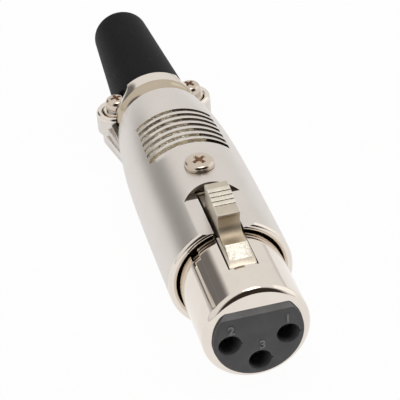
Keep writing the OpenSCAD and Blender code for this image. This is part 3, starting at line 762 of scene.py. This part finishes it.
for side in (-1, 1):
    lug = turned("lug", [(LUG_R - BOSS_RIM, 0), (LUG_R, BOSS_RIM)]
                 + arc(LUG_R - LUG_ROUND, LUG_H - LUG_ROUND, LUG_ROUND, 0, 90, 8)
                 + [(0.3, LUG_H)], sides=64)
    lug.rotation_euler = (math.pi / 2, 0, 0)
    lug.location = [side * CLAMP_X * MM, LUG_Y * MM, (BOSS_TOP_Z - BOSS_H) * MM]
    settle(lug, "lug")
    seat = turned("ear seat", EAR_SEAT, sides=64)
    seat.rotation_euler = (math.pi / 2, 0, 0)
    seat.location = [side * CLAMP_X * MM, CLAMP_Y * MM, BOSS_TOP_Z * MM]
    settle(seat, "ear seat")
    combine(lug, seat)
    saddle_room = rod("saddle room", CROWN_R + 0.1, 50, 70, sides=128, along="Y")
    combine(saddle_room, block("below the split", (-12, 40, -12), (12, 80, BOSS_TOP_Z)))
    combine(lug, saddle_room)
    root = web_between((side * (CLAMP_X - 0.3), CLAMP_Y, -3.9, -0.9, 2.8),
                       (side * (CLAMP_X - 1.1), GRIP_REAR_Y - 3.0, -3.9, -0.9, 2.4))
    combine(lug, root, "UNION")
    web = web_between((side * (CLAMP_X + 0.35), BOSS_Y - 1, -4.4, -2.5, 2.5),
                      (side * (CLAMP_X - 1.25), GRIP_REAR_Y - 5, -3.8, -2.2, 2.3))
    combine(lug, web, "UNION")
    combine(lug, rod("bore room", CHAMBER_R, 40, CHAMBER_REAR_Y + 1, sides=128, along="Y"))
    combine(lug, rod("cable room", CLAMP_BORE_R, 50, 70, sides=128, along="Y"))
    combine(cradle, lug, "UNION")
combine(grip, cradle, "UNION")
print("cradle joined")

# %% Latch pocket and screw seat
POCKET_FLOOR_Z, POCKET_SIDE_Y, POCKET_REAR_Y = 8.47, 23.1, 25.4
half_w = math.sqrt(GRIP_R ** 2 - POCKET_FLOOR_Z ** 2) + 0.2
rise = POCKET_REAR_Y - POCKET_SIDE_Y
arch_r = (half_w ** 2 + rise ** 2) / (2 * rise)
arch_half = math.degrees(math.asin(half_w / arch_r))
arch_points = [(arch_r * math.sin(math.radians(a)),
                POCKET_REAR_Y - arch_r * (1 - math.cos(math.radians(a))))
               for a in [arch_half - arch_half * i / 12 for i in range(25)]]
pocket = extruded("pocket", [(-half_w, GRIP_FRONT_Y - 1), (half_w, GRIP_FRONT_Y - 1)] + arch_points,
                  lambda x, y: (x, y, POCKET_FLOOR_Z), (0, 0, 3))
combine(grip, pocket)
MOON_Z = 8.17
combine(grip, extruded("pocket rear", arch_points, lambda x, y: (x, y, MOON_Z), (0, 0, 3)))
combine(grip, block("slot", (-SLOT_W / 2, GRIP_FRONT_Y - 1, NOSE_R - 2),
                    (SLOT_W / 2, POCKET_REAR_Y - 0.5, GRIP_R + 1)))
SCREW_Y, SCREW_D, SCREW_HEAD_D = 30.3, 2.9, 4.6
SPOT_Z = math.sqrt(GRIP_R ** 2 - SCREW_HEAD_D ** 2 / 4)
combine(grip, rod("screw hole", SCREW_D / 2 + 0.15, 0, 11, centre=(0, SCREW_Y)))
combine(grip, rod("screw seat", SCREW_HEAD_D / 2 + 0.1, SPOT_Z, 11, centre=(0, SCREW_Y)))
print("pocket %.2f mm wide" % (2 * half_w))

# %% Grip grooves
GROOVE_COUNT, GROOVE_FRONT_Y, GROOVE_PITCH = 7, 36.6, 1.68
GROOVE_DEPTH, GROOVE_ANGLE, GROOVE_PAINTED_SHADE_X = 0.5, 43.0, 3.2
for i in range(GROOVE_COUNT):
    y = GROOVE_FRONT_Y + i * GROOVE_PITCH
    wide, deep = (1.10, GROOVE_DEPTH + 0.25) if i == 0 else (0.98, GROOVE_DEPTH)
    start = math.radians(90 - GROOVE_ANGLE)
    section = [(grip_radius(y) - deep, y), (GRIP_R + 1, y), (GRIP_R + 1, y + wide),
               (grip_radius(y + wide) - deep + 0.2, y + wide)]
    groove = traced("groove", section,
                    lambda r, y: (r * math.cos(start), y, r * math.sin(start)))
    bpy.ops.mesh.spin(steps=36, angle=math.radians(2 * GROOVE_ANGLE), center=(0, 0, 0),
                      axis=(0, 1, 0))
    bpy.ops.mesh.select_all(action="SELECT")
    bpy.ops.mesh.remove_doubles(threshold=1e-7)
    bpy.ops.mesh.normals_make_consistent(inside=False)
    bpy.ops.object.mode_set(mode="OBJECT")
    combine(grip, groove)
for side in (-1, 1):
    combine(grip, rod("clamp hole", 0.9, BOSS_TOP_Z - BOSS_H + 0.8, 2, sides=32,
                      centre=(side * CLAMP_X, CLAMP_Y)))
soften(grip, 0.09)
finish(grip, satin_nickel, "shell", "satin_nickel", "grip_housing")


# Painted shade: the arched rear wall and the half-moon floor behind the pocket get the dark casting.
def in_painted_pocket_shade(at, normal):
    behind = POCKET_SIDE_Y - 0.1 < at.y < POCKET_REAR_Y + 0.1 and math.hypot(at.x, at.z) < GRIP_R - 0.02
    return behind and ((normal.y < -0.25 and at.z > MOON_Z)
                       or (normal.z > 0.7 and MOON_Z - 0.05 < at.z < POCKET_FLOOR_Z - 0.05))


def in_groove(at, normal):
    last_y = GROOVE_FRONT_Y + GROOVE_COUNT * GROOVE_PITCH
    return (GROOVE_FRONT_Y - 0.1 < at.y < last_y and at.z > 4
            and math.hypot(at.x, at.z) < grip_radius(at.y) - 0.06)


paint(grip, painted_shade_cast, in_painted_pocket_shade)
# The grooves are split at a slanting line: painted light to its left, painted shade to its right.
def on_painted_shade_side(at):
    return at.x > GROOVE_PAINTED_SHADE_X - 0.30 * (at.y - GROOVE_FRONT_Y)


# Painted light: the grooves to the left of the slanting line get the pale lit casting.
paint(grip, groove_cast_lit, lambda at, normal: in_groove(at, normal) and not on_painted_shade_side(at))
# Painted shade: the grooves' walls and the front groove on the right side get the dark copy.
paint(grip, painted_groove_shade, lambda at, normal: in_groove(at, normal) and on_painted_shade_side(at)
      and (abs(normal.y) > 0.3 or at.y < GROOVE_FRONT_Y + 1.2))
paint(grip, bright_nickel, lambda at, normal: at.y < GRIP_FRONT_Y + RIM_ROUND + 0.02)
paint(grip, bright_nickel, lambda at, normal: at.y > GRIP_REAR_Y + 0.5 and at.z > BOSS_TOP_Z + 0.3)
# Painted shade: the flat split faces under the saddle ears get the same dark casting.
paint(grip, painted_shade_cast, lambda at, normal: at.y > GRIP_REAR_Y + 0.5 and normal.z > 0.9
      and abs(at.z - BOSS_TOP_Z) < 0.05)
paint(grip, bright_nickel, lambda at, normal: SEAT_R + 0.1 < math.hypot(at.x, at.z) < RIM_RECESS_R + 0.1
      and at.y < RIM_RECESS_Y + 0.1)

# %% [markdown]
# ## The latch lever
# One strip of cast metal does all the latching: an eye at its rear end turns on the pin, the
# thumb pad stands up in the pocket with four small steps, a lip hangs over its front, and the
# catch tooth ends in a ramp that the mating shell rides over. Its side view is traced as an
# outline and given its width.

# %% Latch lever
LEVER_W, LEVER_BODY_W, LEVER_BODY_Z = 3.3, 4.0, 7.95
PIN_Y, PIN_Z, PIN_R = 26.5, 6.3, 0.65
EYE_R = PIN_Z - BORE_FLAT_Z - 0.25
PAD_Z, PAD_REAR_Y, PAD_FRONT_Y = 12.8, 20.6, 13.2
STEP_COUNT, STEP_W, STEP_H, STEP_FALL = 4, 0.9, 0.25, 0.7
TOOTH_Z, TOOTH_REAR_Y, TOOTH_FRONT_Y = 9.05, 10.2, 7.7

steps_rear_y = PAD_REAR_Y - 1.8
steps_front_y = steps_rear_y - STEP_COUNT * STEP_W
lip_z = PAD_Z - STEP_FALL - STEP_H
front_y = SLOT_FRONT_Y + 0.25
steps = []
for i in range(STEP_COUNT):
    y0, z0 = steps_rear_y - i * STEP_W, PAD_Z - STEP_FALL * i / STEP_COUNT
    steps += [(y0, z0), (y0 - 0.8 * STEP_W, z0 - 0.6 * STEP_FALL / STEP_COUNT),
              (y0 - 0.85 * STEP_W, z0 - STEP_H)]
lever_side = (
    [(PIN_Y + EYE_R * 0.2, PIN_Z - EYE_R), (front_y, BORE_FLAT_Z + 1.75), (front_y, NOSE_R - 0.35),
     (TOOTH_FRONT_Y, NOSE_R + 0.1), (TOOTH_REAR_Y - 0.15, TOOTH_Z), (TOOTH_REAR_Y, TOOTH_Z - 0.05),
     (TOOTH_REAR_Y + 0.2, NOSE_R + 0.55)]
    + arc(PAD_FRONT_Y - 1.6, NOSE_R + 2.55, 2, 262, 350, 12)
    + [(PAD_FRONT_Y + 0.35, lip_z - 0.8), (PAD_FRONT_Y + 0.1, lip_z - 0.35),
       (PAD_FRONT_Y, lip_z - 0.15), (PAD_FRONT_Y + 0.15, lip_z), (PAD_FRONT_Y + 0.9, lip_z + 0.1),
       (steps_front_y - 0.3, PAD_Z - STEP_FALL - 0.1)]
    + steps[::-1]
    + [(PAD_REAR_Y - 0.5, PAD_Z), (PAD_REAR_Y, PAD_Z - 0.4), (PAD_REAR_Y, PIN_Z + EYE_R + 1.4),
       (PAD_REAR_Y + 0.8, PIN_Z + EYE_R + 0.3)]
    + arc(PIN_Y, PIN_Z, EYE_R, 95, -70, 14))
lever = extruded("latch_lever_cast", lever_side, lambda y, z: (-LEVER_W / 2, y, z), (LEVER_W, 0, 0))
body = extruded("lever body", lever_side, lambda y, z: (-LEVER_BODY_W / 2, y, z), (LEVER_BODY_W, 0, 0))
combine(body, block("above body", (-3, 0, LEVER_BODY_Z), (3, 40, 20)))
combine(body, block("behind body", (-3, GRIP_FRONT_Y - 0.5, 0), (3, 40, 20)))
combine(lever, body, "UNION")
combine(lever, rod("eye", PIN_R, -3, 3, sides=32, centre=(PIN_Y, PIN_Z), along="X"))
soften(lever, 0.09, segments=2, sharp=24.0, clamp=True)
finish(lever, lever_nickel, "latch", "lever_nickel", "latch_lever")

# %% Rough faces of the lever, painted lighter, and painted shade in its hollow
def on_steps_or_ramp(at, normal):
    on_steps = steps_front_y < at.y < steps_rear_y + 0.2 and at.z > PAD_Z - 1.5 and normal.z > 0.5
    on_ramp = TOOTH_FRONT_Y < at.y < TOOTH_REAR_Y and at.z > NOSE_R and normal.z > 0.4
    return on_steps or on_ramp


# Painted light: the upward faces of the steps and the ramp get the paler rough casting.
paint(lever, rough_cast_lit, on_steps_or_ramp)
# Painted shade: the hollow under the lip and the front faces of the tooth get the browner finish.
paint(lever, painted_lever_shade, lambda at, normal: abs(normal.x) < 0.5 and NOSE_R + 0.3 < at.z < lip_z - 0.2
      and TOOTH_REAR_Y - 0.05 < at.y < PAD_FRONT_Y + 0.5)
paint(lever, painted_lever_shade, lambda at, normal: at.y < TOOTH_FRONT_Y + 0.1 and normal.y < -0.4)

# %% [markdown]
# ## The cable clamp
# The saddle is the upper half of the clamp. Its arch is a section spun half way round the cable,
# with a hollow waist in front of a plain crown band, and two flat ears under the screw heads.
# The heads need room, so a round valley is cut down each flank.

# %% Clamp saddle
WAIST_R, CROWN_FRONT_Y, CROWN_REAR_Y = 6.7, 59.0, 63.2
EAR_Z, EAR_T, WASHER_T, HEAD_ROOM_R = 0.4, 1.0, 0.45, 2.15
saddle_front_y = GRIP_REAR_Y + 0.15
section = ([(CLAMP_BORE_R, saddle_front_y), (WAIST_R, saddle_front_y)]
           + [(WAIST_R - 0.12, saddle_front_y + 0.5), (WAIST_R - 0.14, saddle_front_y + 1.0),
              (WAIST_R - 0.08, saddle_front_y + 1.5), (WAIST_R + 0.06, saddle_front_y + 2.0),
              (WAIST_R + 0.2, saddle_front_y + 2.3)]
           + [(CROWN_R - 0.1, CROWN_FRONT_Y + 0.7), (CROWN_R, CROWN_FRONT_Y + 1.1),
              (CROWN_R - 0.05, CROWN_REAR_Y - 0.6), (CROWN_R - 0.4, CROWN_REAR_Y - 0.1),
              (CROWN_R - 0.7, CROWN_REAR_Y), (CLAMP_BORE_R, CROWN_REAR_Y)])
saddle = traced("clamp_saddle_bright", section, lambda r, y: (r, y, 0))
bpy.ops.mesh.spin(steps=64, angle=math.pi, center=(0, 0, 0), axis=(0, 1, 0))
bpy.ops.mesh.select_all(action="SELECT")
bpy.ops.mesh.remove_doubles(threshold=1e-7)
bpy.ops.mesh.normals_make_consistent(inside=False)
bpy.ops.object.mode_set(mode="OBJECT")
combine(saddle, block("under ears", (-12, 50, -12), (12, 70, EAR_Z)))
for side in (-1, 1):
    ear = rod("ear", HEAD_ROOM_R, EAR_Z, EAR_Z + EAR_T, centre=(side * CLAMP_X, CLAMP_Y))
    combine(ear, rod("cable room", CLAMP_BORE_R, 50, 70, sides=128, along="Y"))
    combine(saddle, ear, "UNION")
    combine(saddle, rod("head room", HEAD_ROOM_R, EAR_Z + EAR_T, 12,
                        centre=(side * CLAMP_X, CLAMP_Y)))
    combine(saddle, rod("screw hole", 0.95, -1, 6, centre=(side * CLAMP_X, CLAMP_Y)))
soften(saddle, 0.12, segments=3)
finish(saddle, bright_nickel, "shell", "polished_nickel", "clamp_saddle")
# Painted shade: the hollow waist of the saddle gets the darker brown finish.
paint(saddle, painted_saddle_shade, lambda at, normal: saddle_front_y + 0.6 < at.y < CROWN_FRONT_Y + 1.0
      and math.hypot(at.x, at.z) > CLAMP_BORE_R + 0.1)

# %% [markdown]
# ## The screws
# The three screws are the same shape in two sizes: a rounded pan head with a cross recess, which
# narrows towards its bottom as a driver's tip does. Each is turned about the axis of its own
# shank, cut, and then set upright in its place. Real threads would be hidden, so the shank is
# plain.

# %% Pan screws
def pan_screw(name, head_d, head_h, shank_d, shank_len, turn, place):
    radius = head_d / 2
    edge = head_h * 0.45
    points = ([(shank_d / 2, -shank_len), (shank_d / 2, -0.01), (radius, 0), (radius, edge)]
              + arc(radius - head_h * 0.5, edge, head_h * 0.5, 12, 72, 6)
              + [(radius * 0.45, head_h * 0.985), (radius * 0.1, head_h)])
    screw = turned(name, points, sides=64)
    screw.rotation_euler = (math.pi / 2, 0, 0)
    settle(screw, name)
    for quarter in (0, 90):
        wide, long_, deep = head_d * 0.085, head_d * 0.31, head_h * 0.62
        slot = block("driver slot", (-long_, -wide, head_h - deep), (long_, wide, head_h + 0.3))
        select_only(slot)
        bpy.ops.object.mode_set(mode="EDIT")
        bpy.ops.mesh.select_all(action="DESELECT")
        bpy.ops.object.mode_set(mode="OBJECT")
        for vertex in slot.data.vertices:
            vertex.select = vertex.co.z < (head_h - deep / 2) * MM
        bpy.ops.object.mode_set(mode="EDIT")
        bpy.ops.transform.resize(value=(0.45, 0.6, 1),
                                 center_override=(0, 0, (head_h - deep) * MM))
        bpy.ops.object.mode_set(mode="OBJECT")
        slot.rotation_euler = (0, 0, math.radians(quarter + turn))
        settle(slot, "driver slot")
        combine(screw, slot)
    screw.location = [v * MM for v in place]
    settle(screw, name)
    soften(screw, 0.06, segments=2, sharp=40)
    return screw


def in_recess(place, head_d, head_h):
    """Picks the faces of a driver recess: inside the head's top and not part of its dome."""
    def chosen(at, normal):
        return (math.hypot(at.x - place[0], at.y - place[1]) < head_d * 0.34
                and at.z > place[2] and (normal.z < 0.7 or at.z < place[2] + head_h * 0.8))
    return chosen


HEAD_Z = EAR_Z + EAR_T + WASHER_T
housing_screw = pan_screw("housing_screw_head", SCREW_HEAD_D, 1.25, SCREW_D,
                          SPOT_Z - BORE_FLAT_Z - 0.1, 28, (0, SCREW_Y, SPOT_Z))
finish(housing_screw, screw_nickel, "shell", "screw_nickel", "housing_screw")
paint(housing_screw, recess_brown, in_recess((0, SCREW_Y, SPOT_Z), SCREW_HEAD_D, 1.25))
for side, word, turn in ((-1, "left", 15), (1, "right", 40)):
    screw = pan_screw("clamp_screw_head_" + word, 3.6, 1.7, 1.7, HEAD_Z + BOSS_H - 1, turn,
                      (side * CLAMP_X, CLAMP_Y, HEAD_Z))
    finish(screw, screw_nickel, "shell", "screw_nickel", "clamp_screw_" + word)
    paint(screw, recess_brown, in_recess((side * CLAMP_X, CLAMP_Y, HEAD_Z), 3.6, 1.7))

# %% [markdown]
# ## The boot
# The boot is a soft vinyl sleeve that keeps the cable from kinking. It is turned as a closed ring
# with its cable bore and the hollow in front of it, tapers to a well rounded end, and has two
# round cuts at its front where the clamp screw heads and shanks pass.

# %% Boot
BOOT_R, BOOT_FRONT_Y, BOOT_REAR_Y, BOOT_END_R, BOOT_ROUND = 6.3, 55.5, 90.0, 4.85, 1.5
CABLE_R, CABLE_BORE_LEN, CAVITY_R = 3.1, 12.0, 3.9
SHOULDER_Y = CROWN_REAR_Y + 0.3
end_ring = arc(BOOT_END_R - BOOT_ROUND, BOOT_REAR_Y - BOOT_ROUND, BOOT_ROUND, 4, 90, 10)
flank = [(BOOT_R + (end_ring[0][0] - BOOT_R) * i / 12,
          SHOULDER_Y + (end_ring[0][1] - SHOULDER_Y) * i / 12) for i in range(12)]
boot = turned("boot_vinyl",
              [(BOOT_R - 0.2, BOOT_FRONT_Y), (BOOT_R, BOOT_FRONT_Y + 0.3)] + flank + end_ring
              + [(CABLE_R + 0.15, BOOT_REAR_Y), (CABLE_R, BOOT_REAR_Y - 0.15),
                 (CABLE_R, BOOT_REAR_Y - CABLE_BORE_LEN),
                 (CAVITY_R, BOOT_REAR_Y - CABLE_BORE_LEN - 4), (CAVITY_R, BOOT_FRONT_Y),
                 (BOOT_R - 0.2, BOOT_FRONT_Y)], sides=96, closed=True)
for side in (-1, 1):
    combine(boot, rod("head room", 1.95, EAR_Z + 0.9, 8, centre=(side * CLAMP_X, CLAMP_Y)))
    combine(boot, rod("shank room", 1.05, -4, 2, centre=(side * CLAMP_X, CLAMP_Y)))
soften(boot, 0.12)
finish(boot, black_vinyl, "shell", "black_vinyl", "boot")

# %% [markdown]
# ## The leaf spring
# A thin strip of spring steel lies on the flat of the bore and lifts the lever.

# %% Leaf spring
STRIP_W, STRIP_T = 2.6, 0.2
foot_z = BORE_FLAT_Z + 0.02
strip_line = [(21.5, 0), (17, 0), (15, 0.28), (13, 0.68), (12, 0.87), (11.2, 0.86), (10.6, 0.75)]
strip_points = ([(y, foot_z + rise_z) for y, rise_z in strip_line]
                + [(y, foot_z + rise_z + STRIP_T) for y, rise_z in strip_line[::-1]])
spring = extruded("leaf_spring", strip_points, lambda y, z: (-STRIP_W / 2, y, z), (STRIP_W, 0, 0))
soften(spring, 0.03)
spring.data.materials.append(spring_steel)
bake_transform(spring)
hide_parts("latch_spring")

# %% [markdown]
# ## The pieces inside
# The contacts, their retainer, the solder lug, the pin and the spring washers keep their CAD
# shapes, which are already right. They get the finishes made above.

# %% Finishes on the kept nodes
# The contacts get the dark plating colour, painted shade for their place deep in the holes.
KEPT_LOOKS = {
    "contact_1": shaded_contact_metal, "contact_2": shaded_contact_metal, "contact_3": shaded_contact_metal,
    "contact_retainer": grey_plastic, "ground_tab": bright_nickel, "latch_pin": spring_steel,
    "clamp_washer_left": spring_steel, "clamp_washer_right": spring_steel,
}
for name, look in KEPT_LOOKS.items():
    kept = nodes[name]
    kept.data.materials.clear()
    kept.data.materials.append(look)
print("kept nodes:", len(KEPT_LOOKS))

# %% Clear the selection
select_only(None)
